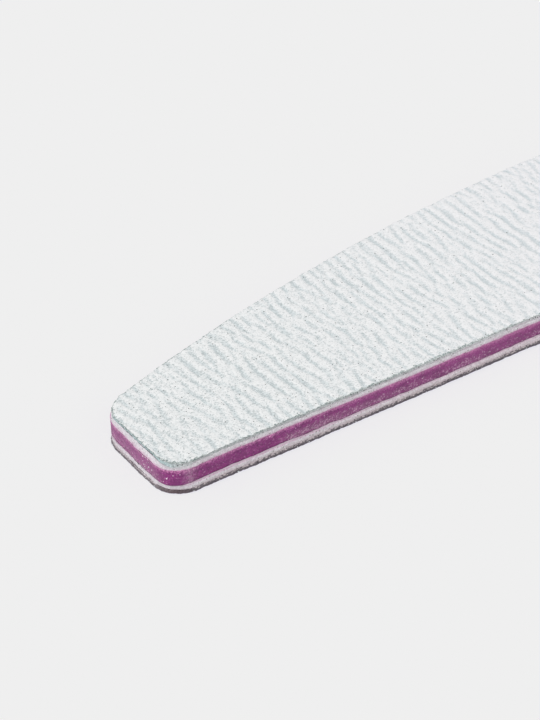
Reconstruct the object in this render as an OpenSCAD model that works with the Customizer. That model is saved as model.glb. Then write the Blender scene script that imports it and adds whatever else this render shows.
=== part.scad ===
// Half-moon emery board: a stiff plastic core between two soft foam cushions,
// each faced with a coated abrasive paper. All lengths are in millimetres.

/* [Outline] */
// Overall length of the board, end to end
board_length = 178; // [120:1:250]
// Overall width at the middle, from the straight edge to the crest of the curved edge
board_width = 30; // [24:0.5:45]
// Width of each blunt end, before its corners are rounded
end_width = 15; // [10:0.5:22]
// Radius of the corners where the ends meet the straight edge
straight_corner_r = 3.8; // [1:0.1:4.5]
// Radius of the corners where the ends meet the curved edge
curved_corner_r = 4.8; // [1:0.1:5.5]

/* [Layer thicknesses] */
// Thickness of the stiff plastic core
core_t = 2.1; // [0.8:0.1:4]
// Thickness of each foam cushion
foam_t = 0.5; // [0.3:0.05:2]
// Thickness of each sheet of backing paper
paper_t = 0.3; // [0.1:0.05:0.6]
// Thickness of each coat of abrasive grit and resin
grit_t = 0.2; // [0.1:0.05:0.5]
// Thickness of the glue between the core and each foam cushion
core_glue_t = 0.05; // [0.03:0.01:0.2]
// Thickness of the glue between each foam cushion and its paper
paper_glue_t = 0.05; // [0.03:0.01:0.2]

/* [Cut edge] */
// How far the upper grit coat stands back from the board's outline
upper_grit_setback = 0.5; // [0:0.05:0.8]
// How far the upper paper stands back from the board's outline
upper_paper_setback = 0.4; // [0:0.05:0.8]
// How far the upper foam stands back from the board's outline
upper_foam_setback = 0.3; // [0:0.05:0.8]
// How far the core stands back from the board's outline
core_setback = 0.25; // [0:0.05:0.8]
// How far the lower foam stands back from the board's outline
lower_foam_setback = 0.1; // [0:0.05:0.8]
// How far each film of glue stops short of the layers that it joins
glue_setback = 0.1; // [0:0.05:0.8]

/* [Hidden] */

// The curved edge is one arc through both ends and the crest
half_length = board_length / 2;
arc_rise = board_width - end_width;
arc_r = (half_length^2 + arc_rise^2) / (2 * arc_rise);
crest_y = board_width / 2;
arc_centre = [0, crest_y - arc_r];

// Centres of the two corner rounds of the right-hand end
straight_corner = [half_length - straight_corner_r, straight_corner_r - crest_y];
curved_corner_x = half_length - curved_corner_r;
curved_corner_drop = sqrt((arc_r - curved_corner_r)^2 - curved_corner_x^2);
curved_corner = [curved_corner_x, arc_centre.y + curved_corner_drop];
// Direction in which the curved corner's round runs into the arc
blend_dir = (curved_corner - arc_centre) / norm(curved_corner - arc_centre);

// Levels of the stack, from the face that rests on the table upwards
lower_paper_z = grit_t;
lower_paper_glue_z = lower_paper_z + paper_t;
lower_foam_z = lower_paper_glue_z + paper_glue_t;
lower_core_glue_z = lower_foam_z + foam_t;
core_z = lower_core_glue_z + core_glue_t;
upper_core_glue_z = core_z + core_t;
upper_foam_z = upper_core_glue_z + core_glue_t;
upper_paper_glue_z = upper_foam_z + foam_t;
upper_paper_z = upper_paper_glue_z + paper_glue_t;
upper_grit_z = upper_paper_z + paper_t;

// Glue stays behind whichever of its two neighbours stands back further
upper_core_glue_setback = max(core_setback, upper_foam_setback) + glue_setback;
lower_core_glue_setback = max(core_setback, lower_foam_setback) + glue_setback;
upper_paper_glue_setback = max(upper_foam_setback, upper_paper_setback) + glue_setback;
lower_paper_glue_setback = lower_foam_setback + glue_setback;

// Smoothness of the long arc and of the small corner rounds
arc_facets = 720;
corner_facets = 96;

// The wedge beyond a corner round, from direction a to direction b, that the cut takes away
module corner_waste(centre, radius, a, b) {
    reach = 3 * radius;
    difference() {
        polygon([centre, centre + reach * a, centre + reach * (a + b), centre + reach * b]);
        translate(centre) circle(r = radius, $fn = corner_facets);
    }
}

// The half-moon outline, drawn in by a setback all round
module outline(setback) {
    bottom_y = setback - crest_y;
    difference() {
        intersection() {
            translate(arc_centre) circle(r = arc_r - setback, $fn = arc_facets);
            translate([setback - half_length, bottom_y])
                square([board_length - 2 * setback, board_width]);
        }
        for (side = [0, 1]) mirror([side, 0]) {
            corner_waste(straight_corner, straight_corner_r - setback, [1, 0], [0, -1]);
            corner_waste(curved_corner, curved_corner_r - setback, [1, 0], blend_dir);
        }
    }
}

// One flat layer of the stack
module layer(level, thickness, setback) {
    translate([0, 0, level]) linear_extrude(height = thickness) outline(setback);
}

module core_board() {
    color("mediumvioletred") layer(core_z, core_t, core_setback);
}

module upper_foam() {
    color("lavenderblush") layer(upper_foam_z, foam_t, upper_foam_setback);
}

module lower_foam() {
    color("lavenderblush") layer(lower_foam_z, foam_t, lower_foam_setback);
}

module upper_core_adhesive() {
    color("ivory") layer(upper_core_glue_z, core_glue_t, upper_core_glue_setback);
}

module lower_core_adhesive() {
    color("ivory") layer(lower_core_glue_z, core_glue_t, lower_core_glue_setback);
}

module upper_paper_adhesive() {
    color("ivory") layer(upper_paper_glue_z, paper_glue_t, upper_paper_glue_setback);
}

module lower_paper_adhesive() {
    color("ivory") layer(lower_paper_glue_z, paper_glue_t, lower_paper_glue_setback);
}

module upper_backing_paper() {
    color("cadetblue") layer(upper_paper_z, paper_t, upper_paper_setback);
}

// The lower paper and its grit are the widest layers, and reach the outline itself
module lower_backing_paper() {
    color("cadetblue") layer(lower_paper_z, paper_t, 0);
}

module upper_grit_coat() {
    color("whitesmoke") layer(upper_grit_z, grit_t, upper_grit_setback);
}

module lower_grit_coat() {
    color("whitesmoke") layer(0, grit_t, 0);
}

core_board();
upper_foam();
lower_foam();
upper_core_adhesive();
lower_core_adhesive();
upper_paper_adhesive();
lower_paper_adhesive();
upper_backing_paper();
lower_backing_paper();
upper_grit_coat();
lower_grit_coat();
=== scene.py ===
import math

import bpy
import numpy as np
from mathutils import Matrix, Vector


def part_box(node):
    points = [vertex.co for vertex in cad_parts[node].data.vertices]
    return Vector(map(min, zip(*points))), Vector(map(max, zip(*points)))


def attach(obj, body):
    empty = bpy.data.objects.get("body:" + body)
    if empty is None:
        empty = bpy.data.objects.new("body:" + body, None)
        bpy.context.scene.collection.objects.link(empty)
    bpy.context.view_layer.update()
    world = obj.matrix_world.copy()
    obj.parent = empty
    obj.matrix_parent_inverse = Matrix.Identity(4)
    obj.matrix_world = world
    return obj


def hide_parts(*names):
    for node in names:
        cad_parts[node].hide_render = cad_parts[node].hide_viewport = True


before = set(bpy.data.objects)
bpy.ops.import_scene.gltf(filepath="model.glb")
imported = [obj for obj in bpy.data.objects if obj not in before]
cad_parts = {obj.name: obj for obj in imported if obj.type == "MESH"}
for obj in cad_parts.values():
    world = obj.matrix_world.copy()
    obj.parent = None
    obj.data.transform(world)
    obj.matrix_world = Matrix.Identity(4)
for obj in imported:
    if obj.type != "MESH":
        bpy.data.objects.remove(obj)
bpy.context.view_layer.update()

MM = 0.001

# Driving sizes of the outline that the solids' boxes don't give, in millimetres
end_width = 15.0
straight_corner_r = 3.8
curved_corner_r = 4.8

# The solids of the stack, from the table up
LAYER_NODES = [
    "lower_grit_coat",
    "lower_backing_paper",
    "lower_paper_adhesive",
    "lower_foam",
    "lower_core_adhesive",
    "core_board",
    "upper_core_adhesive",
    "upper_foam",
    "upper_paper_adhesive",
    "upper_backing_paper",
    "upper_grit_coat",
]


def box_mm(node):
    """Low and high corners of a solid's box, in millimetres."""
    low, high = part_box(node)
    return np.array(low) / MM, np.array(high) / MM


outline_low, outline_high = box_mm("lower_grit_coat")
half_length = outline_high[0]
straight_y = outline_low[1]
board_width = outline_high[1] - outline_low[1]
# Heights of the faces where the layers meet, from the table to the top of the board
levels = [box_mm(node)[0][2] for node in LAYER_NODES] + [box_mm("upper_grit_coat")[1][2]]

# The curved edge is one arc through both ends and the crest
arc_rise = board_width - end_width
arc_r = (half_length**2 + arc_rise**2) / (2 * arc_rise)
arc_y = straight_y + board_width - arc_r
straight_corner = (half_length - straight_corner_r, straight_y + straight_corner_r)
curved_corner_x = half_length - curved_corner_r
curved_corner_y = arc_y + math.sqrt((arc_r - curved_corner_r)**2 - curved_corner_x**2)
# Where the curved corner's round runs into the arc, as an angle from straight across the board
blend_angle = math.atan2(curved_corner_x, curved_corner_y - arc_y)

# Fineness of the meshes: columns along the board, columns round a corner and rows across the board
MIDDLE_COLUMNS = 660
CORNER_COLUMNS = 24
ROWS = 126


def column_places():
    """Distance along the board of each column, closer together in the rounded corners."""
    turns = np.linspace(0, math.pi / 2, CORNER_COLUMNS + 1)[1:]
    corner = curved_corner_x + curved_corner_r * np.sin(turns)
    middle = np.linspace(-curved_corner_x, curved_corner_x, MIDDLE_COLUMNS + 1)
    return np.concatenate([-corner[::-1], middle, corner])


def straight_side(x):
    """Points and inward normals of the straight edge with its corners, for distances x along the board."""
    turn = np.arcsin(np.clip((np.abs(x) - straight_corner[0]) / straight_corner_r, 0, 1))
    y = straight_y + straight_corner_r * (1 - np.cos(turn))
    normal = np.stack([-np.sign(x) * np.sin(turn), np.cos(turn)], -1)
    return np.stack([x, y], -1), normal


def curved_side(x):
    """Points and inward normals of the curved edge with its corners, for distances x along the board."""
    turn = np.arcsin(np.clip((np.abs(x) - curved_corner_x) / curved_corner_r, 0, 1))
    rounded = turn > blend_angle
    on_arc = np.arcsin(x / arc_r)
    angle = np.where(rounded, np.sign(x) * turn, on_arc)
    corner_y = curved_corner_y + curved_corner_r * np.cos(turn)
    y = np.where(rounded, corner_y, arc_y + arc_r * np.cos(on_arc))
    return np.stack([x, y], -1), np.stack([-np.sin(angle), -np.cos(angle)], -1)


def end_side(sign):
    """Points and inward normals of a blunt end, from the straight edge towards the curved one."""
    y = np.linspace(straight_corner[1], curved_corner_y, ROWS + 1)[1:-1]
    points = np.stack([np.full_like(y, sign * half_length), y], -1)
    return points, np.tile([-float(sign), 0.0], (len(y), 1))


columns = column_places()
near_points, near_normals = straight_side(columns)
far_points, far_normals = curved_side(columns)
right_points, right_normals = end_side(1)
left_points, left_normals = end_side(-1)

# The rim runs once round the board: straight edge, right end, curved edge, left end
rim_points = np.concatenate([near_points, right_points, far_points[::-1], left_points[::-1]])
rim_normals = np.concatenate([near_normals, right_normals, far_normals[::-1], left_normals[::-1]])
rim_steps = np.linalg.norm(np.roll(rim_points, -1, axis=0) - rim_points, axis=1)
rim_run = np.concatenate([[0], np.cumsum(rim_steps)[:-1]])
rim_length = rim_steps.sum()
# Numbers of the rim points on each side: the long ones by column, the ends from the straight edge across
COLUMNS = len(columns) - 1
RIM = len(rim_points)
NEAR = np.arange(COLUMNS + 1)
RIGHT = COLUMNS + 1 + np.arange(ROWS - 1)
FAR = (2 * COLUMNS + 1 + ROWS) - NEAR
LEFT = RIM - 1 - np.arange(ROWS - 1)
# 1 on the blunt ends, 0 on the long edges
rim_endness = rim_normals[:, 0]**2

# Samples of the noise along the rim, and how strongly it loses the waves shorter than those asked for
RIM_SAMPLES = 8192
WAVE_LOSS = 1.2


def rim_noise(wavelength, seed):
    """Smooth noise along the rim, of unit spread, that joins up with itself."""
    white = np.random.default_rng(seed).standard_normal(RIM_SAMPLES)
    waves = np.fft.rfftfreq(RIM_SAMPLES, rim_length / RIM_SAMPLES) * wavelength
    smooth = np.fft.irfft(np.fft.rfft(white) * np.exp(-0.5 * (waves * WAVE_LOSS)**2), RIM_SAMPLES)
    smooth /= smooth.std()
    place = np.arange(RIM_SAMPLES + 1) * rim_length / RIM_SAMPLES
    return np.interp(rim_run, place, np.append(smooth, smooth[0]))


def wander(waves, seeds):
    """The sum of several noises along the rim, each with its (wavelength, size) and its seed."""
    return sum(size * rim_noise(wavelength, seed) for (wavelength, size), seed in zip(waves, seeds))


def between(low, high, share):
    """The value a share of the way from low to high."""
    return low * (1 - share) + high * share


# Field of ripples and grains over the face: a square grid, in millimetres, that starts a margin outside
# the board
FIELD_STEP = 0.1
FIELD_SIZE = (1900, 400)
FIELD_MARGIN = 2.0

# The main ripples, the fine ones and the broad swells. For each: waves per millimetre along the board,
# the spread of that along and across the board, tilt and strength
RIPPLE_SETS = [
    (0.64, 0.10, 0.12, 0.02, 1.0),
    (1.05, 0.22, 0.28, 0.0, 0.5),
    (0.18, 0.07, 0.15, 0.0, 0.16),
]
# How steeply the crests fall to the valleys, and how much broader the crests are
CREST_FALL = 2.1
CREST_EXCESS = 0.6


def field_noise(seed, shape_of_waves):
    """Random field of unit spread whose waves have the strengths that shape_of_waves(fx, fy) gives."""
    white = np.random.default_rng(seed).standard_normal(FIELD_SIZE)
    fx = np.fft.fftfreq(FIELD_SIZE[0], FIELD_STEP)[:, None]
    fy = np.fft.fftfreq(FIELD_SIZE[1], FIELD_STEP)[None]
    field = np.real(np.fft.ifft2(np.fft.fft2(white) * shape_of_waves(fx, fy)))
    return field / field.std()


def ripple_waves(mean, spread_x, spread_y, tilt):
    """A function that gives the strength of each wave in one set of ripples."""
    def strength(fx, fy):
        along = (np.abs(fx) - mean) / (2 * spread_x)
        across = (fy - tilt * fx) / (2 * spread_y)
        return np.exp(-along**2 - across**2)
    return strength


def ripples(seed):
    """Wavy ridges across the board: 1 on a broad pale crest, 0 in a narrow valley."""
    relief = sum(
        strength * field_noise(seed + number, ripple_waves(*waves))
        for number, (*waves, strength) in enumerate(RIPPLE_SETS)
    )
    relief /= relief.std()
    return 1 / (1 + np.exp(-CREST_FALL * (relief + CREST_EXCESS)))


def lumps(seed, size):
    """Small rounded lumps, about size millimetres across."""
    return field_noise(seed, lambda fx, fy: np.exp(-2 * (fx**2 + fy**2) * size**2))


def sample(field, x, y):
    """The field at points x, y, by straight lines between its grid points."""
    u = (x + half_length + FIELD_MARGIN) / FIELD_STEP
    v = (y - straight_y + FIELD_MARGIN) / FIELD_STEP
    i, j = np.floor(u).astype(int), np.floor(v).astype(int)
    low = between(field[i, j], field[i + 1, j], u - i)
    high = between(field[i, j + 1], field[i + 1, j + 1], u - i)
    return between(low, high, v - j)


def edge_distance(x, y):
    """Distance in from the outline, for points on the face."""
    side = np.abs(x)
    inside = np.minimum.reduce([y - straight_y, arc_r - np.hypot(x, y - arc_y), half_length - side])
    near_corner = (side > straight_corner[0]) & (y < straight_corner[1])
    near_gap = straight_corner_r - np.hypot(side - straight_corner[0], y - straight_corner[1])
    angle = np.arctan2(side - curved_corner_x, y - curved_corner_y)
    far_corner = (side > curved_corner_x) & (y > curved_corner_y) & (angle > blend_angle)
    far_gap = curved_corner_r - np.hypot(side - curved_corner_x, y - curved_corner_y)
    inside = np.where(near_corner, np.minimum(inside, near_gap), inside)
    return np.where(far_corner, np.minimum(inside, far_gap), inside)


def quads(index, flip=False):
    """Faces of a grid of vertex numbers."""
    a, b, c, d = index[:-1, :-1], index[1:, :-1], index[1:, 1:], index[:-1, 1:]
    corners = [a, d, c, b] if flip else [a, b, c, d]
    return np.stack(corners, -1).reshape(-1, 4)


def grid_places(index, flip=False):
    """The same faces, with each corner given by its place in the grid."""
    return quads(np.arange(index.size).reshape(index.shape), flip)


# The layout of every piece's texture map: strips that a face and a coat's wall are cut into, the gap
# between bands and the height of the hidden faces' bands, in millimetres before it is scaled to fit
FACE_STRIPS = 2
COAT_WALL_STRIPS = 5
MAP_GAP = 0.3
CAP_HEIGHT = 1.0
# The many-sided faces at the ends are mapped to circles of this radius, in shares of their band
CIRCLE_RADIUS = 0.4

# Edges sharper than this are shaded as edges
SHARP_ANGLE = math.radians(50)


class Build:
    """Gathers the vertices, faces, map places and attributes of one closed piece."""

    def __init__(self):
        self.places = []
        self.faces = []
        self.maps = []
        self.values = {}
        self.count = 0
        self.map_top = 0.0

    def vertices(self, points, **values):
        """Adds points with their attributes, and returns their vertex numbers."""
        points = points.reshape(-1, 3)
        for name, value in values.items():
            self.values.setdefault(name, []).append((self.count, np.broadcast_to(value, len(points))))
        self.places.append(points)
        index = np.arange(self.count, self.count + len(points))
        self.count += len(points)
        return index

    def add(self, faces, along, across, strips, height):
        """Adds faces whose corners lie at along, across on a band that is cut into that many strips."""
        along = along - along.min()
        across = across - across.min()
        strip = along.max() / strips
        longest = (along.max(axis=1) - along.min(axis=1)).max()
        row = np.floor(along.min(axis=1) / strip)[:, None]
        u = (along - row * strip) / (strip + longest)
        v = self.map_top + row * (height + MAP_GAP) + across
        self.faces.extend(faces.tolist())
        self.maps.append(np.stack([u, v], -1).reshape(-1, 2))
        self.map_top += (row.max() + 1) * (height + MAP_GAP)

    def add_polygon(self, ring):
        """Adds one face with all the corners of a ring, mapped to a circle."""
        angle = np.linspace(0, 2 * math.pi, len(ring), endpoint=False)
        u = 0.5 + CIRCLE_RADIUS * np.cos(angle)
        v = self.map_top + CAP_HEIGHT * (0.5 + CIRCLE_RADIUS * np.sin(angle))
        self.faces.append([int(number) for number in ring])
        self.maps.append(np.stack([u, v], -1))
        self.map_top += CAP_HEIGHT + MAP_GAP

    def finish(self, name, material):
        """Makes the Blender object."""
        mesh = bpy.data.meshes.new(name)
        mesh.from_pydata(np.concatenate(self.places) * MM, [], self.faces)
        for title, parts in self.values.items():
            layer = mesh.attributes.new(title, "FLOAT", "POINT")
            full = np.zeros(self.count, np.float32)
            for start, value in parts:
                full[start:start + len(value)] = value
            layer.data.foreach_set("value", full)
        uv = np.concatenate(self.maps)
        uv[:, 1] /= self.map_top
        mesh.uv_layers.new(name="OFBake").data.foreach_set("uv", uv.astype(np.float32).ravel())
        mesh.validate()
        mesh.polygons.foreach_set("use_smooth", np.ones(len(mesh.polygons), bool))
        mesh.set_sharp_from_angle(angle=SHARP_ANGLE)
        mesh.materials.append(material)
        piece = bpy.data.objects.new(name, mesh)
        bpy.context.collection.objects.link(piece)
        return piece


def add_cap(build, loop, up):
    """Closes the rim loop of vertex numbers with strips across the board. up says which way it faces."""
    near, far = loop[NEAR], loop[FAR]
    index = np.stack([near, far], 1)[1:-1]
    places = grid_places(index, not up)
    along = columns[1:-1][places // 2]
    across = CAP_HEIGHT * (places % 2)
    build.add(quads(index, not up), along, across, 1, CAP_HEIGHT)
    right = [near[-2], near[-1], *loop[RIGHT], far[-1], far[-2]]
    left = [near[1], far[1], far[0], *loop[LEFT][::-1], near[0]]
    for ring in (right, left):
        build.add_polygon(ring if up else ring[::-1])


def add_wall(build, rows, depths, strips):
    """Joins rim loops of vertex numbers, from the top one down, that lie at depths down the wall."""
    index = np.stack(rows, 1)
    index = np.concatenate([index, index[:1]])
    places = grid_places(index, True)
    along = np.append(rim_run, rim_length)[places // len(rows)]
    across = np.array(depths)[places % len(rows)]
    build.add(quads(index, True), along, across, strips, float(max(depths)))


def rim_ring(setback, z):
    """The rim drawn in by setback, at height z. Both may vary along it."""
    flat = rim_points + rim_normals * np.broadcast_to(setback, RIM)[:, None]
    return np.concatenate([flat, np.broadcast_to(z, RIM)[:, None]], 1)


# How far each level of the cut edge stands back from the outline at six stations round one half:
# the straight side, a straight corner, the end beside it, the end beside the curved corner,
# that corner and the curved side
SETBACKS = [
    (0.00, 0.00, 0.00, 0.12, 0.30, 0.08),
    (0.01, 0.01, 0.02, 0.13, 0.30, 0.06),
    (0.08, 0.05, 0.08, 0.20, 0.33, 0.10),
    (0.10, 0.06, 0.10, 0.22, 0.33, 0.12),
    (0.26, 0.05, 0.16, 0.30, 0.22, 0.26),
    (0.40, 0.00, 0.19, 0.36, 0.24, 0.36),
    (0.34, 0.22, 0.13, 0.26, 0.18, 0.34),
    (0.34, 0.22, 0.15, 0.30, 0.22, 0.36),
    (0.42, 0.32, 0.50, 0.53, 0.43, 0.46),
    (0.43, 0.33, 0.51, 0.54, 0.40, 0.46),
    (0.46, 0.52, 0.53, 0.54, 0.43, 0.50),
    (0.47, 0.62, 0.56, 0.54, 0.46, 0.54),
]
# Along the straight side, levels from the core's lower face upwards lean in and out together
LEAN = 0.08
LEAN_LENGTH = 54.0
LEAN_CREST = 76.0
CORE_LEVEL = LAYER_NODES.index("core_board")
# How far the cut dragged each level down at the straight corners, on the ends and at the curved corners
SINKS = {
    2: (-0.08, 0.00, 0.00),
    3: (-0.08, 0.00, 0.00),
    6: (0.00, 0.12, 0.00),
    7: (0.00, 0.12, 0.00),
    8: (0.28, 0.00, 0.20),
    9: (0.28, 0.00, 0.20),
    10: (0.20, 0.00, 0.10),
}
# Above 1, so that the drag of a curved corner stays whole for a while on both sides of its middle
CURVED_DRAG_BREADTH = 1.6
# How each level wanders up and down along the rim, and how the whole cut wanders in and out, as
# (wavelength, size)
LEVEL_WANDER = [(3.5, 0.024), (0.7, 0.018)]
LEVEL_SEEDS = (100, 200)
CUT_WANDER = [(6.0, 0.03), (1.2, 0.012)]
CUT_SEEDS = (90, 91)
# Directions closer than this, in radians, count as the same
SAME_ANGLE = 1e-6


def rim_stations():
    """Where each rim point lies among the six stations, from 0 to 5."""
    turn = np.arctan2(np.abs(rim_normals[:, 0]), rim_normals[:, 1])
    quarter = math.pi / 2
    up_end = (rim_points[:, 1] - straight_corner[1]) / (curved_corner_y - straight_corner[1])
    past_end = np.clip((turn - quarter) / (quarter - blend_angle), 0, 1)
    on_end = np.abs(turn - quarter) < SAME_ANGLE
    return np.where(on_end, 2 + up_end, np.where(turn < quarter, 2 * turn / quarter, 3 + 2 * past_end))


stations = rim_stations()
lean_wave = np.cos(2 * math.pi * (np.abs(rim_points[:, 0]) - LEAN_CREST) / LEAN_LENGTH)
lean = LEAN * lean_wave * np.clip(1 - stations, 0, 1)
# 1 in the middle of a corner's round, 0 beyond its ends, for the straight and the curved corners
rim_cornerness = np.clip(1 - np.abs(stations - 1), 0, 1)
rim_curvedness = np.clip(CURVED_DRAG_BREADTH * (1 - np.abs(stations - 4)), 0, 1)

# How far from the board's middle it is worn palest, and where the wear ends
WORN_REACH = (12.0, 72.0)


def wear(x):
    """1 near the middle of the board's length, 0 near its ends."""
    return 1 - np.clip((np.abs(x) - WORN_REACH[0]) / (WORN_REACH[1] - WORN_REACH[0]), 0, 1)


def level_setback(k):
    """How far the k-th level stands back from the outline, along the rim."""
    return np.interp(stations, range(6), SETBACKS[k]) + (k >= CORE_LEVEL) * lean


def level_height(k):
    """Height of the k-th level along the rim."""
    inside = 0 < k < len(levels) - 1
    places = (rim_cornerness, rim_endness, rim_curvedness)
    drag = sum(sink * place for sink, place in zip(SINKS.get(k, (0, 0, 0)), places))
    seeds = [seed + k for seed in LEVEL_SEEDS]
    return levels[k] + inside * wander(LEVEL_WANDER, seeds) - drag


level_heights = [level_height(k) for k in range(len(levels))]
cut_wander = wander(CUT_WANDER, CUT_SEEDS)

# Places on the cut edge that were knocked, and how far from them the marks reach
SCUFF_PLACE = (-85.8, -14.7)
SCUFF_REACH = 0.7
NICK_PLACE = (-89.0, -9.7)
NICK_REACH = 1.2
# How much of the same nicking the straight corners have
CORNER_NICKS = 0.8


def near_place(place, reach):
    """1 at a place on the rim, falling to 0 away from it."""
    return np.exp(-(np.linalg.norm(rim_points - place, axis=1) / reach)**2)


# The dust of the cut lies thick and thin in patches on the long sides
DUST_SHARE = 0.55
DUST_PATCHES = [(7.0, 0.15)]
DUST_SEED = 95
# It is thickest at a peak a little way from the ends, and thins out beyond its reach
DUST_PEAK = 66.0
DUST_PEAK_WIDTH = 7.0
DUST_PEAK_SHARE = 0.55
DUST_REACH = 74.0
DUST_FADE = 3.0
DUST_BEYOND = 0.1
# The dust on the ends, and the share of all dust that is gone where the board is worn
END_DUST = 0.5
DUST_WEAR = 0.55


def rim_dust():
    """How thick the dust lies along the rim, from 0 to 1."""
    from_middle = np.abs(rim_points[:, 0])
    peak = np.exp(-((from_middle - DUST_PEAK) / DUST_PEAK_WIDTH)**2)
    sides = np.clip(DUST_SHARE + wander(DUST_PATCHES, [DUST_SEED]) + DUST_PEAK_SHARE * peak, 0, 1)
    sides = sides * np.clip((DUST_REACH - from_middle) / DUST_FADE, DUST_BEYOND, 1)
    return np.maximum(sides, END_DUST * rim_endness**4) * (1 - DUST_WEAR * wear(from_middle))


# The attributes that every cut edge carries
wall_values = {
    "endness": rim_endness,
    "cornerness": rim_cornerness,
    "scuff": near_place(SCUFF_PLACE, SCUFF_REACH),
    "nicks": np.maximum(near_place(NICK_PLACE, NICK_REACH), CORNER_NICKS * rim_cornerness),
    "dust": rim_dust(),
    "worn": wear(rim_points[:, 0]),
}

# Rows down the cut edge of each kind of layer, and its roughness as (wavelength, size)
PAPER_EDGE = (3, [(0.5, 0.02)])
FOAM_EDGE = (4, [(0.6, 0.015)])
CORE_EDGE = (8, [(3.0, 0.01), (0.8, 0.006)])
GLUE_EDGE = (1, [(1.0, 0.01)])


def plain_layer(name, node, material, edge, back):
    """A closed layer of the laminate. edge is its kind of cut edge, and back is an extra setback."""
    k = LAYER_NODES.index(node)
    rows, roughness = edge
    height = levels[k + 1] - levels[k]
    build = Build()
    loops = []
    depths = []
    for row in range(rows + 1):
        rise = 1 - row / rows
        z = between(level_heights[k], level_heights[k + 1], rise)
        setback = between(level_setback(k), level_setback(k + 1), rise) + back + cut_wander
        # Every layer, row and wavelength has a seed of its own
        seeds = [1000 * (k + 1) + row + int(wavelength * 100) for wavelength, size in roughness]
        ring = rim_ring(setback + wander(roughness, seeds), z)
        loops.append(build.vertices(ring, rise=rise, **wall_values))
        depths.append((1 - rise) * height)
    strips = max(1, round(math.sqrt(rim_length / (height + MAP_GAP))))
    add_wall(build, loops, depths, strips)
    add_cap(build, loops[0], True)
    add_cap(build, loops[-1], False)
    return build.finish(name, material)


# Relief of a coat's face
RIPPLE_DEPTH = 0.085
GRAIN_HEIGHT = 0.012
GRAIN_SIZE = 0.35
# Seeds of the coats' relief
LOWER_SEED = 300
UPPER_SEED = 400
# The lower coat's crests stop this far short of the table, so that no face lies in the table's own plane
TABLE_GAP = 0.003
# Small chips along a coat's rim and broader bites out of it, as wavelengths and sizes
CHIPS = (0.35, 0.03)
BITE_LENGTH = 2.2
UPPER_BITES = 0.06
LOWER_BITES = 0.025
# A coat's edge is reckoned from this far in from the outline, and its face rolls down to it
EDGE_START = 0.4
EDGE_ROLL = 0.07
ROLL_WIDTH = 0.6
# Along the outline the lower coat is pressed flat, to this share of its relief over this width
PRESSED_SHARE = 0.2
PRESSED_WIDTH = 1.2
# Widths of the dark rim, its teal-grey with painted shade, and of the margin that has more dark specks
RIM_WIDTH = 0.35
MARGIN_WIDTH = 1.6
# How much less of the dark rim is left on the curved side where the face is worn
CURVED_RIM_WEAR = 0.9
# Rows down a coat's cut edge, as shares of its depth, how far it swells out and its map's row height
WALL_STEPS = (0.35, 0.7, 1.0)
WALL_SWELL = 0.05
WALL_MAP_STEP = 0.1


def coat_points(outer, upper, seed):
    """The grid of points of a coat's face, before its relief."""
    bites = (BITE_LENGTH, UPPER_BITES if upper else LOWER_BITES)
    chips = wander([CHIPS, bites], (seed + 4, seed + 5)) + cut_wander
    ring = rim_ring(level_setback(outer) + chips, 0)
    across = np.linspace(0, 1, ROWS + 1)[None, :, None]
    points = between(ring[NEAR][:, None], ring[FAR][:, None], across)
    points[0, 1:-1] = ring[LEFT]
    points[-1, 1:-1] = ring[RIGHT]
    return points


def coat_face(build, outer, upper, seed):
    """Adds a coat's rippled face. Returns the vertex numbers of its rim and their heights."""
    points = coat_points(outer, upper, seed)
    x, y = points[..., 0], points[..., 1]
    ridge = sample(ripples(seed), x, y)
    lump = sample(lumps(seed + 3, GRAIN_SIZE), x, y)
    edge = edge_distance(x, y) - EDGE_START
    roll = EDGE_ROLL * np.clip(1 - edge / ROLL_WIDTH, 0, 1)**2
    depth = RIPPLE_DEPTH * (1 - ridge) - GRAIN_HEIGHT * lump + roll
    if upper:
        points[..., 2] = levels[outer] - depth
    else:
        pressed = np.clip(edge / PRESSED_WIDTH, PRESSED_SHARE, 1)
        points[..., 2] = levels[outer] + np.maximum(depth, 0) * pressed + TABLE_GAP
    worn = wear(x)
    curved_wear = CURVED_RIM_WEAR * np.sqrt(worn) * (y > 0)
    index = build.vertices(
        points,
        ridge=ridge.ravel(),
        rim=(np.clip(1 - edge / RIM_WIDTH, 0, 1) * (1 - curved_wear)).ravel(),
        margin=np.clip(1 - edge / MARGIN_WIDTH, 0, 1).ravel(),
        worn=worn.ravel(),
    )
    index = index.reshape(COLUMNS + 1, ROWS + 1)
    places = grid_places(index, not upper)
    build.add(quads(index, not upper), x.ravel()[places], y.ravel()[places], FACE_STRIPS, board_width)
    loop = np.concatenate([index[:, 0], index[-1, 1:-1], index[::-1, -1], index[0, 1:-1][::-1]])
    return loop, points.reshape(-1, 3)[loop, 2]


def grit_layer(name, material, upper, seed):
    """A closed coat of grit with its ripples and grains in the mesh, and a crumbling cut edge."""
    build = Build()
    top = len(levels) - 1
    inner, outer = (top - 1, top) if upper else (1, 0)
    loop, rim_z = coat_face(build, outer, upper, seed)
    rows = [loop]
    for share in WALL_STEPS:
        z = between(rim_z, level_heights[inner], share)
        swell = WALL_SWELL * math.sin(math.pi * share)
        chips = wander([CHIPS], [seed + 10 + int(share * 100)])
        setback = between(level_setback(outer), level_setback(inner), share) - swell + chips + cut_wander
        rows.append(build.vertices(rim_ring(setback, z), ridge=0.5, rim=1.0, margin=1.0, **wall_values))
    depths = [WALL_MAP_STEP * number for number in range(len(rows))]
    add_wall(build, rows if upper else rows[::-1], depths, COAT_WALL_STRIPS)
    add_cap(build, rows[-1], not upper)
    return build.finish(name, material)


def linear(red, green, blue):
    """A colour seen on screen, 0 to 255, as Blender's linear values."""
    def one(value):
        value /= 255
        return value / 12.92 if value <= 0.04045 else ((value + 0.055) / 1.055)**2.4
    return (one(red), one(green), one(blue), 1.0)


# Most of a noise node's values lie between these two
NOISE_RANGE = (0.3, 0.7)
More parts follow.
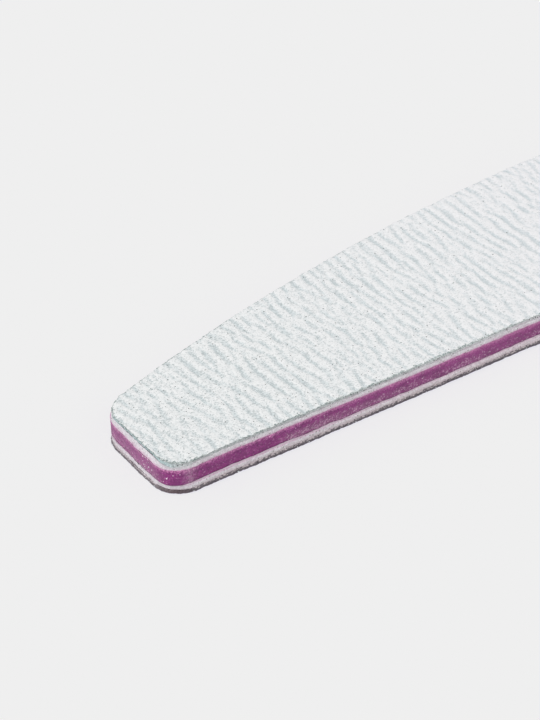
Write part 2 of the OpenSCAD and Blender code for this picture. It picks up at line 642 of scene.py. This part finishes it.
# Share of a speck's radius over which it is solid
SPECK_HEART = 0.7
# How softly a grain's mask goes from in to out
GRAIN_SOFTNESS = 0.1


class Nodes:
    """A material's node tree, with short calls for the nodes that the materials here share."""

    def __init__(self, name):
        self.material = bpy.data.materials.new(name)
        self.material.use_nodes = True
        self.tree = self.material.node_tree
        self.shader = self.tree.nodes["Principled BSDF"]
        self.spot = self.tree.nodes.new("ShaderNodeTexCoord").outputs["Object"]

    def link(self, source, target):
        self.tree.links.new(source, target)

    def fill(self, source, target):
        """Links source to a socket, or sets the socket where source is a plain value."""
        if isinstance(source, (int, float, tuple)):
            target.default_value = source
        else:
            self.link(source, target)

    def value(self, name):
        """One of the attributes that the mesh carries."""
        node = self.tree.nodes.new("ShaderNodeAttribute")
        node.attribute_name = name
        return node.outputs["Fac"]

    def height_mm(self):
        """Height above the table, in millimetres."""
        split = self.tree.nodes.new("ShaderNodeSeparateXYZ")
        self.link(self.spot, split.inputs["Vector"])
        return self.maths("DIVIDE", split.outputs["Z"], MM)

    def stretch(self, scale):
        """The place on the object, with its three axes scaled."""
        node = self.tree.nodes.new("ShaderNodeMapping")
        node.inputs["Scale"].default_value = scale
        self.link(self.spot, node.inputs["Vector"])
        return node.outputs["Vector"]

    def maths(self, operation, first, second):
        node = self.tree.nodes.new("ShaderNodeMath")
        node.operation = operation
        self.fill(first, node.inputs[0])
        self.fill(second, node.inputs[1])
        return node.outputs[0]

    def times(self, first, second):
        return self.maths("MULTIPLY", first, second)

    def plus(self, first, second):
        return self.maths("ADD", first, second)

    def minus(self, first, second):
        return self.maths("SUBTRACT", first, second)

    def ramp(self, source, low, high, to_low=0.0, to_high=1.0):
        """Goes from to_low to to_high as source goes from low to high."""
        node = self.tree.nodes.new("ShaderNodeMapRange")
        node.inputs["From Min"].default_value = low
        node.inputs["From Max"].default_value = high
        node.inputs["To Min"].default_value = to_low
        node.inputs["To Max"].default_value = to_high
        self.link(source, node.inputs["Value"])
        return node.outputs["Result"]

    def fade(self, source, start, end):
        """Goes from start to end as source goes from 0 to 1."""
        return self.ramp(source, 0.0, 1.0, start, end)

    def mix(self, factor, first, second, blend="MIX"):
        """Goes from the first colour to the second as factor goes from 0 to 1."""
        node = self.tree.nodes.new("ShaderNodeMix")
        node.data_type = "RGBA"
        node.blend_type = blend
        self.fill(factor, node.inputs[0])
        self.fill(first, node.inputs[6])
        self.fill(second, node.inputs[7])
        return node.outputs[2]

    def tint(self, base, colour):
        """base multiplied by a colour."""
        return self.mix(1.0, base, colour, "MULTIPLY")

    def noise(self, per_mm, detail=2.0, rough=0.6, spot=None):
        """Smooth noise with about per_mm patches to the millimetre."""
        node = self.tree.nodes.new("ShaderNodeTexNoise")
        node.inputs["Scale"].default_value = per_mm / MM
        node.inputs["Detail"].default_value = detail
        node.inputs["Roughness"].default_value = rough
        self.link(spot or self.spot, node.inputs["Vector"])
        return node.outputs["Fac"]

    def mottle(self, base, per_mm, strength):
        """base, made up to strength darker and lighter in small patches."""
        noise = self.noise(per_mm, detail=3.0, rough=0.7)
        return self.tint(base, self.ramp(noise, *NOISE_RANGE, 1 - strength, 1 + strength))

    def ragged(self, source, per_mm, reach):
        """source, raised and lowered by up to reach in small patches."""
        return self.plus(source, self.ramp(self.noise(per_mm), *NOISE_RANGE, -reach, reach))

    def scatter(self, per_mm):
        """Distance to the nearest point of a random scatter, in cell sizes, and that cell's random value."""
        node = self.tree.nodes.new("ShaderNodeTexVoronoi")
        node.inputs["Scale"].default_value = per_mm / MM
        self.link(self.spot, node.inputs["Vector"])
        split = self.tree.nodes.new("ShaderNodeSeparateColor")
        self.link(node.outputs["Color"], split.inputs["Color"])
        return node.outputs["Distance"], split.outputs["Red"]

    def grains(self, share, per_mm):
        """A mask of grains that lie side by side, with the given share of them in it."""
        tone = self.scatter(per_mm)[1]
        return self.ramp(self.minus(share, tone), -GRAIN_SOFTNESS, GRAIN_SOFTNESS)

    def specks(self, per_mm, radius, share):
        """A mask of small round specks, in a share of the cells of a random scatter."""
        distance, tone = self.scatter(per_mm)
        edge = radius * per_mm
        spot = self.ramp(distance, edge * SPECK_HEART, edge, 1.0, 0.0)
        return self.times(spot, self.maths("LESS_THAN", tone, share))

    def bump(self, height, strength, distance_mm):
        """Shades the surface as if height raised it."""
        node = self.tree.nodes.new("ShaderNodeBump")
        node.inputs["Strength"].default_value = strength
        node.inputs["Distance"].default_value = distance_mm * MM
        self.link(height, node.inputs["Height"])
        self.link(node.outputs["Normal"], self.shader.inputs["Normal"])

    def finish(self, colour, roughness, specular):
        """Gives the shader its colour and finish, and returns the material."""
        self.link(colour, self.shader.inputs["Base Color"])
        self.shader.inputs["Roughness"].default_value = roughness
        self.shader.inputs["Specular IOR Level"].default_value = specular
        return self.material


# The painted contact shade and grime near the table: its colours, the height up to which it is solid on the
# straight side, how far it fades out round that height, and how much higher it climbs at the straight
# corners and on the ends
SHADE_AND_GRIME = linear(104, 98, 104)
CORNER_SHADE_AND_GRIME = linear(84, 68, 72)
SHADE_AND_GRIME_TOP = 0.27
SHADE_AND_GRIME_FADE = (-0.04, 0.1)
SHADE_AND_GRIME_CORNER_CLIMB = 0.82
SHADE_AND_GRIME_END_CLIMB = 0.02
# How much its height wobbles, and how much of that is left on the ends
SHADE_AND_GRIME_WOBBLE = 0.08
END_WOBBLE_SHARE = 0.3
# How well the solid shade and grime cover the ends, how well loose grains cover the sides and the ends, and
# the share of the grains that are dark just above the solid shade and grime
END_COVER = 0.72
LOOSE_COVER = (0.85, 0.2)
LOOSE_SHARE = 0.6


def shade_and_grime(nodes, base, loose_top):
    """Darkens base towards the table with painted contact shade and grime, and loose dark grains up to
    loose_top millimetres above it.
    """
    corner = nodes.value("cornerness")
    ends = nodes.value("endness")
    wobble = nodes.ramp(nodes.noise(4.4), *NOISE_RANGE, -SHADE_AND_GRIME_WOBBLE, SHADE_AND_GRIME_WOBBLE)
    wobble = nodes.times(wobble, nodes.fade(ends, 1.0, END_WOBBLE_SHARE))
    height = nodes.plus(nodes.ragged(nodes.height_mm(), 1.3, reach=0.06), wobble)
    height = nodes.minus(height, nodes.times(corner, SHADE_AND_GRIME_CORNER_CLIMB))
    height = nodes.minus(height, nodes.times(ends, SHADE_AND_GRIME_END_CLIMB))
    colour = nodes.mottle(nodes.mix(corner, SHADE_AND_GRIME, CORNER_SHADE_AND_GRIME), 4.1, strength=0.35)
    loose = nodes.grains(nodes.ramp(height, SHADE_AND_GRIME_TOP, loose_top, LOOSE_SHARE, 0.0), 5.6)
    base = nodes.mix(nodes.times(loose, nodes.fade(ends, *LOOSE_COVER)), base, colour)
    fade_start, fade_end = (SHADE_AND_GRIME_TOP + fade for fade in SHADE_AND_GRIME_FADE)
    solid = nodes.ramp(height, fade_start, fade_end, 1.0, 0.0)
    return nodes.mix(nodes.times(solid, nodes.fade(ends, 1.0, END_COVER)), base, colour)


# Colours of a coat's face, fresh and where it is worn, and of its grains and specks
CREST = linear(245, 246, 246)
WORN_CREST = linear(241, 240, 242)
VALLEY = linear(220, 229, 231)
WORN_VALLEY = linear(214, 221, 225)
VALLEY_GRAIN = linear(156, 166, 168)
FINE_GRAIN = linear(190, 194, 194)
DARK_SPECK = linear(92, 95, 94)
# Share of the grain's strength that is left where the face is worn
WORN_GRAIN = 0.34
# Shares of the grains that are grey on the crests and in the valleys, how gradually they turn grey, how
# grey they get, and how well the fine speckle covers
GREY_SHARES = (0.36, 0.8)
GREY_RANGE = 0.42
GREY_COVER = 0.56
FINE_COVER = 0.3
# Shares of dark specks over the face, and on top of those in its margin, fresh and worn
FACE_SPECKS = (0.22, 0.01)
MARGIN_SPECKS = (0.3, 0.04)
# Grains per millimetre of the face, and of the dust on the core
GRAINS_PER_MM = 6.5


def grit_material(name, rim_tone_and_shade, rim_grain):
    """Pale resin over grains: white crests, blue-grey valleys, speckle and a few dark specks."""
    nodes = Nodes(name)
    worn = nodes.value("worn")
    grain_strength = nodes.fade(worn, 1.0, WORN_GRAIN)
    hollow = nodes.ramp(nodes.ragged(nodes.value("ridge"), 2.4, reach=0.25), 0.9, 0.0)
    crest = nodes.mix(worn, CREST, WORN_CREST)
    valley = nodes.mix(worn, VALLEY, WORN_VALLEY)
    base = nodes.mix(hollow, crest, valley)
    # Grey grains, crowded together in the valleys
    tone = nodes.scatter(GRAINS_PER_MM)[1]
    crowd = nodes.minus(nodes.fade(hollow, *GREY_SHARES), tone)
    crowd = nodes.ramp(crowd, 0.0, GREY_RANGE, 0.0, GREY_COVER)
    base = nodes.mix(nodes.times(crowd, grain_strength), base, VALLEY_GRAIN)
    fine = nodes.noise(5.0, rough=0.7)
    speckle = nodes.ramp(fine, *NOISE_RANGE, FINE_COVER, 0.0)
    base = nodes.mix(nodes.times(speckle, grain_strength), base, FINE_GRAIN)
    # Dark specks, thickest in the margin
    margin_share = nodes.times(nodes.value("margin"), nodes.fade(worn, *MARGIN_SPECKS))
    speck_share = nodes.plus(nodes.fade(worn, *FACE_SPECKS), margin_share)
    base = nodes.mix(nodes.specks(1.9, radius=0.09, share=speck_share), base, DARK_SPECK)
    # The dark rim, its teal-grey with painted shade, and the cut edge
    edge = nodes.mix(nodes.fade(worn, 0.0, 0.3), rim_tone_and_shade, rim_grain)
    edge = nodes.mix(nodes.ramp(tone, 0.1, 0.9), edge, rim_grain)
    # Painted contact shade and grime on the coat's cut edge near the table
    edge = shade_and_grime(nodes, edge, loose_top=0.75)
    rim = nodes.ramp(nodes.ragged(nodes.value("rim"), 2.6, reach=0.6), 0.5, 0.62)
    base = nodes.mix(rim, base, edge)
    nodes.bump(fine, strength=0.5, distance_mm=0.03)
    return nodes.finish(base, roughness=0.85, specular=0.2)


# Colour of worn paper, and the tint of its specks
WORN_PAPER = linear(238, 235, 239)
PAPER_SPECK = linear(126, 122, 122)


def paper_material(name, pale, dark, end_pale, end_dark, lift):
    """Cut paper with fibres, paler by lift where it is worn. The blunt ends have colours of their own."""
    nodes = Nodes(name)
    fibre = nodes.noise(4.5, detail=3.0, rough=0.7, spot=nodes.stretch((1, 1, 1.6)))
    at_end = nodes.ramp(nodes.value("endness"), 0.2, 0.8)
    light = nodes.mix(at_end, pale, end_pale)
    deep = nodes.mix(at_end, dark, end_dark)
    base = nodes.mix(nodes.ramp(fibre, 0.38, 0.62), deep, light)
    base = nodes.mix(nodes.ramp(nodes.value("worn"), 0.0, 0.7, 0.0, lift), base, WORN_PAPER)
    base = nodes.mottle(base, 3.7, strength=0.2)
    base = nodes.mottle(base, 0.35, strength=0.08)
    base = nodes.mix(nodes.specks(3.1, radius=0.1, share=0.45), base, nodes.tint(base, PAPER_SPECK))
    # Painted contact shade and grime on the paper near the table
    base = shade_and_grime(nodes, base, loose_top=0.9)
    nodes.bump(fibre, strength=0.5, distance_mm=0.04)
    return nodes.finish(base, roughness=0.9, specular=0.2)


# Colours of the foam, and the tint of its cut cells
FOAM_DEEP = linear(226, 221, 226)
FOAM_PALE = linear(238, 236, 239)
FOAM_PINK = linear(224, 192, 213)
FOAM_SHADE = linear(170, 167, 173)
FOAM_LOW_TONE = linear(166, 148, 146)
WORN_FOAM = linear(240, 222, 226)
FOAM_PIT = linear(132, 120, 120)
FOAM_CELL = linear(240, 238, 240)
# Shares of the scatter's cells that have a pit, on the sides and on the ends
PIT_SHARES = (0.45, 0.12)


def foam_material(name, core_rise, far_rise, extra_tones):
    """Pale foam with open cells, greyer round the corners, and pink from far_rise to core_rise."""
    nodes = Nodes(name)
    ends = nodes.value("endness")
    rise = nodes.value("rise")
    base = nodes.mix(nodes.ramp(nodes.noise(0.9), 0.35, 0.65), FOAM_DEEP, FOAM_PALE)
    pink = nodes.ramp(nodes.ragged(rise, 4.2, reach=0.2), far_rise, core_rise)
    base = nodes.mix(pink, base, FOAM_PINK)
    shaded = nodes.times(nodes.value("cornerness"), nodes.ramp(rise, 0.1, 0.7, 0.0, 0.5))
    base = nodes.mix(shaded, base, FOAM_SHADE)
    # Darker and browner towards the table, less so on the ends, and a pinker wear away from the ends
    low_down = nodes.ramp(nodes.ragged(nodes.height_mm(), 4.4, reach=0.15), 0.5, 0.9, 1.0, 0.0)
    darker_low = nodes.times(nodes.times(nodes.fade(ends, 1.0, 0.3), extra_tones), low_down)
    base = nodes.mix(darker_low, base, FOAM_LOW_TONE)
    base = nodes.mix(nodes.times(nodes.value("worn"), extra_tones), base, WORN_FOAM)
    # Cells and pits
    cell = nodes.scatter(6.0)[0]
    base = nodes.mottle(base, 4.3, strength=0.2)
    base = nodes.mix(nodes.ramp(cell, 0.15, 0.5), base, nodes.tint(base, FOAM_CELL))
    pit_share = nodes.ramp(ends, 0.2, 1.0, *PIT_SHARES)
    pits = nodes.specks(2.9, radius=0.085, share=pit_share)
    base = nodes.mix(pits, base, FOAM_PIT)
    nodes.bump(cell, strength=0.6, distance_mm=0.03)
    return nodes.finish(base, roughness=0.85, specular=0.2)


def glue_material():
    """Pale, slightly shiny glue."""
    nodes = Nodes("glue_film")
    tone = nodes.noise(1.5)
    base = nodes.mix(tone, linear(200, 184, 196), linear(224, 212, 220))
    nodes.bump(tone, strength=0.2, distance_mm=0.02)
    return nodes.finish(base, roughness=0.5, specular=0.3)


# Colours of the core: its plastic, its bruised top, its dust, the painted shade along its lower edge, the
# painted light and sheen on its ends, and its marks
CORE_DEEP = linear(124, 45, 110)
CORE_PALE = linear(146, 58, 126)
CORE_FLUSH = linear(186, 98, 160)
CORE_BRUISE = linear(196, 126, 172)
CORE_VEIL = linear(154, 112, 140)
CORE_DUST = linear(198, 154, 184)
CORE_FOOT_SHADE = linear(100, 56, 92)
CORE_END_SHEEN = linear(200, 136, 180)
CORE_SCUFF = linear(196, 166, 186)
SMALL_NICK = linear(238, 210, 228)
LARGE_NICK = linear(244, 226, 238)
# Shares of small nicks anywhere, and of small and large ones more where the core was knocked
NICK_SHARE = 0.07
SMALL_KNOCKS = 0.4
LARGE_KNOCKS = 0.25
# Share of the dust's grains where the veil is full, and how well they and the painted light and sheen on
# the ends cover
DUST_GRAINS = 0.38
DUST_COVER = 0.75
END_SHEEN = 0.24


def core_material():
    """Magenta plastic, bruised pink along its top, with a dusty veil lower down and tiny white nicks."""
    nodes = Nodes("core_plastic")
    worn = nodes.value("worn")
    nicks = nodes.value("nicks")
    rise = nodes.ragged(nodes.value("rise"), 4.9, reach=0.1)
    grain = nodes.noise(4.6)
    streak = nodes.noise(1.1, detail=3.0, spot=nodes.stretch((0.6, 0.6, 2.0)))
    base = nodes.mix(nodes.ramp(streak, 0.35, 0.65), CORE_DEEP, CORE_PALE)
    flushed = nodes.times(nodes.ramp(rise, 0.45, 0.9), nodes.ramp(worn, 0.0, 0.6, 0.0, 0.6))
    base = nodes.mix(flushed, base, CORE_FLUSH)
    bruise = nodes.times(nodes.ramp(rise, 0.78, 1.0), nodes.ramp(streak, 0.3, 0.6, 0.6, 1.0))
    base = nodes.mix(bruise, base, CORE_BRUISE)
    # Dust of the cut, as a veil and as single grains
    veil = nodes.times(nodes.ramp(rise, 0.66, 0.3), nodes.value("dust"))
    base = nodes.mix(nodes.times(veil, nodes.ramp(grain, *NOISE_RANGE, 0.2, 0.9)), base, CORE_VEIL)
    dusty = nodes.grains(nodes.times(veil, DUST_GRAINS), GRAINS_PER_MM)
    base = nodes.mix(nodes.times(dusty, DUST_COVER), base, CORE_DUST)
    # Painted shade in the glue gap along the core's lower edge
    foot_shade = nodes.ramp(nodes.value("rise"), 0.09, 0.0, 0.0, 0.6)
    base = nodes.mix(foot_shade, base, CORE_FOOT_SHADE)
    # Painted light and sheen that make the blunt ends a lighter magenta
    end_sheen = nodes.ramp(nodes.value("endness"), 0.75, 1.0, 0.0, END_SHEEN)
    base = nodes.mix(end_sheen, base, CORE_END_SHEEN)
    scuffed = nodes.times(nodes.value("scuff"), nodes.ramp(grain, 0.35, 0.65, 0.1, 0.6))
    base = nodes.mix(scuffed, base, CORE_SCUFF)
    # The grain of the cut, smoothed a little where the board is worn
    grainy = nodes.mottle(base, 4.9, strength=0.4)
    base = nodes.mix(nodes.ramp(worn, 0.0, 0.6, 1.0, 0.5), base, grainy)
    base = nodes.mottle(base, 0.5, strength=0.12)
    small_share = nodes.plus(NICK_SHARE, nodes.times(nicks, SMALL_KNOCKS))
    small = nodes.specks(2.7, radius=0.07, share=small_share)
    base = nodes.mix(small, base, SMALL_NICK)
    large = nodes.specks(1.7, radius=0.12, share=nodes.times(nicks, LARGE_KNOCKS))
    base = nodes.mix(large, base, LARGE_NICK)
    nodes.bump(grain, strength=0.35, distance_mm=0.02)
    return nodes.finish(base, roughness=0.5, specular=0.3)


# Camera, where the photograph was taken from: it looks at the aim from that distance, in millimetres
CAMERA_AIM = (-65.42, -1.1, 2.0)
CAMERA_DISTANCE = 318.1
CAMERA_AZIMUTH = math.radians(-34.71)
CAMERA_ELEVATION = math.radians(35.96)
# Its focal length and the picture's height in pixels, and its sensor and nearest view in millimetres
FOCAL_PIXELS = 2623.0
FRAME_HEIGHT = 720
SENSOR = 36.0
CLIP_START = 10.0


def add_camera():
    """The camera that took the photograph."""
    data = bpy.data.cameras.new("camera")
    data.sensor_width = SENSOR
    data.lens = FOCAL_PIXELS * SENSOR / FRAME_HEIGHT
    data.clip_start = CLIP_START * MM
    camera = bpy.data.objects.new("camera", data)
    back = Vector((
        math.sin(CAMERA_AZIMUTH) * math.cos(CAMERA_ELEVATION),
        -math.cos(CAMERA_AZIMUTH) * math.cos(CAMERA_ELEVATION),
        math.sin(CAMERA_ELEVATION),
    ))
    camera.location = (Vector(CAMERA_AIM) + back * CAMERA_DISTANCE) * MM
    camera.rotation_euler = back.to_track_quat("Z", "Y").to_euler()
    bpy.context.collection.objects.link(camera)
    bpy.context.scene.camera = camera


# Studio: a white table under an even sky, with one broad soft lamp to the left
BACKDROP = linear(239, 239, 239)
SKY = 0.5
LAMP_SHARE = 0.5
LAMP_FROM = (-0.42, -0.15, 0.89)
LAMP_SPREAD = math.radians(50)


def seen_ray(tree):
    """1 for rays from the camera, and for mirror and glass rays, and 0 for the rays that light the scene."""
    path = tree.nodes.new("ShaderNodeLightPath")
    seen = path.outputs["Is Camera Ray"]
    for other in ("Is Glossy Ray", "Is Transmission Ray"):
        either = tree.nodes.new("ShaderNodeMath")
        either.operation = "MAXIMUM"
        tree.links.new(seen, either.inputs[0])
        tree.links.new(path.outputs[other], either.inputs[1])
        seen = either.outputs[0]
    return seen


def add_lamp():
    """One broad soft lamp, far away."""
    lamp = bpy.data.lights.new("soft_lamp", "SUN")
    towards = Vector(LAMP_FROM).normalized()
    lamp.energy = LAMP_SHARE * math.pi / towards.z
    lamp.angle = LAMP_SPREAD
    source = bpy.data.objects.new("soft_lamp", lamp)
    source.rotation_euler = towards.to_track_quat("Z", "Y").to_euler()
    bpy.context.collection.objects.link(source)


def add_sky():
    """An even white sky that the camera sees as the backdrop."""
    world = bpy.data.worlds.new("studio")
    bpy.context.scene.world = world
    world.use_nodes = True
    tree = world.node_tree
    sky = tree.nodes["Background"]
    sky.inputs["Color"].default_value = (1, 1, 1, 1)
    sky.inputs["Strength"].default_value = SKY
    seen = tree.nodes.new("ShaderNodeBackground")
    seen.inputs["Color"].default_value = BACKDROP
    choose = tree.nodes.new("ShaderNodeMixShader")
    tree.links.new(seen_ray(tree), choose.inputs[0])
    tree.links.new(sky.outputs[0], choose.inputs[1])
    tree.links.new(seen.outputs[0], choose.inputs[2])
    tree.links.new(choose.outputs[0], tree.nodes["World Output"].inputs["Surface"])


# Half the width of the table, in metres
FLOOR_HALF = 2.0
# Part of the table's look that stays evenly lit to the camera, so that the board's shadow is faint
FLOOR_EVEN = 0.66
# What the rest of it reflects, which leaves a faint lilac tint where the board's shadow takes it away
FLOOR_LIT = (0.78, 0.86, 0.43, 1.0)


def floor_material():
    """White table, part of whose light is even and shadowless to the camera."""
    nodes = Nodes("table_white")
    seen = seen_ray(nodes.tree)
    nodes.finish(nodes.mix(seen, BACKDROP, FLOOR_LIT), roughness=1.0, specular=0.0)
    even = nodes.tree.nodes.new("ShaderNodeEmission")
    rest = [(whole - (1 - FLOOR_EVEN) * lit) / FLOOR_EVEN for whole, lit in zip(BACKDROP[:3], FLOOR_LIT[:3])]
    even.inputs["Color"].default_value = (*rest, 1.0)
    mixed = nodes.tree.nodes.new("ShaderNodeMixShader")
    nodes.link(nodes.times(seen, FLOOR_EVEN), mixed.inputs[0])
    nodes.link(nodes.shader.outputs[0], mixed.inputs[1])
    nodes.link(even.outputs[0], mixed.inputs[2])
    nodes.link(mixed.outputs[0], nodes.tree.nodes["Material Output"].inputs["Surface"])
    return nodes.material


def add_floor():
    """The table that the board lies on."""
    corners = [(x * FLOOR_HALF, y * FLOOR_HALF, 0) for x, y in ((-1, -1), (1, -1), (1, 1), (-1, 1))]
    mesh = bpy.data.meshes.new("table_top")
    mesh.from_pydata(corners, [], [(0, 1, 2, 3)])
    mesh.materials.append(floor_material())
    floor = bpy.data.objects.new("table_top", mesh)
    bpy.context.collection.objects.link(floor)


add_camera()
add_lamp()
add_sky()
add_floor()

# Each coat's first colour is its dark rim, its own tone with painted shade
upper_grit = grit_material("upper_grit_surface", linear(130, 144, 144), linear(208, 214, 212))
lower_grit = grit_material("lower_grit_surface", linear(150, 142, 146), linear(214, 206, 208))
upper_foam = foam_material("upper_cushion_foam", core_rise=0.0, far_rise=0.45, extra_tones=0.0)
lower_foam = foam_material("lower_cushion_foam", core_rise=1.1, far_rise=0.7, extra_tones=0.5)
glue = glue_material()
core = core_material()
upper_paper = paper_material(
    "upper_paper_edge",
    pale=linear(210, 213, 214),
    dark=linear(166, 171, 173),
    end_pale=linear(186, 205, 206),
    end_dark=linear(164, 183, 185),
    lift=0.5,
)
lower_paper = paper_material(
    "lower_paper_edge",
    pale=linear(216, 206, 207),
    dark=linear(172, 163, 166),
    end_pale=linear(222, 212, 216),
    end_dark=linear(182, 172, 176),
    lift=0.0,
)

# The plain layers: name of the piece, its solid, material, kind of cut edge and extra setback
PLAIN_LAYERS = [
    ("lower_paper", "lower_backing_paper", lower_paper, PAPER_EDGE, 0.0),
    ("lower_paper_glue", "lower_paper_adhesive", glue, GLUE_EDGE, 0.05),
    ("lower_foam_pad", "lower_foam", lower_foam, FOAM_EDGE, 0.0),
    ("lower_core_glue", "lower_core_adhesive", glue, GLUE_EDGE, 0.06),
    ("core", "core_board", core, CORE_EDGE, 0.0),
    ("upper_core_glue", "upper_core_adhesive", glue, GLUE_EDGE, 0.03),
    ("upper_foam_pad", "upper_foam", upper_foam, FOAM_EDGE, 0.0),
    ("upper_paper_glue", "upper_paper_adhesive", glue, GLUE_EDGE, 0.05),
    ("upper_paper", "upper_backing_paper", upper_paper, PAPER_EDGE, 0.0),
]
pieces = {"lower_grit_coat": grit_layer("lower_grit", lower_grit, False, LOWER_SEED)}
for name, node, material, edge, back in PLAIN_LAYERS:
    pieces[node] = plain_layer(name, node, material, edge, back)
pieces["upper_grit_coat"] = grit_layer("upper_grit", upper_grit, True, UPPER_SEED)

for node, piece in pieces.items():
    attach(piece, "root")
    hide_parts(node)

bpy.context.scene.view_settings.view_transform = "Standard"
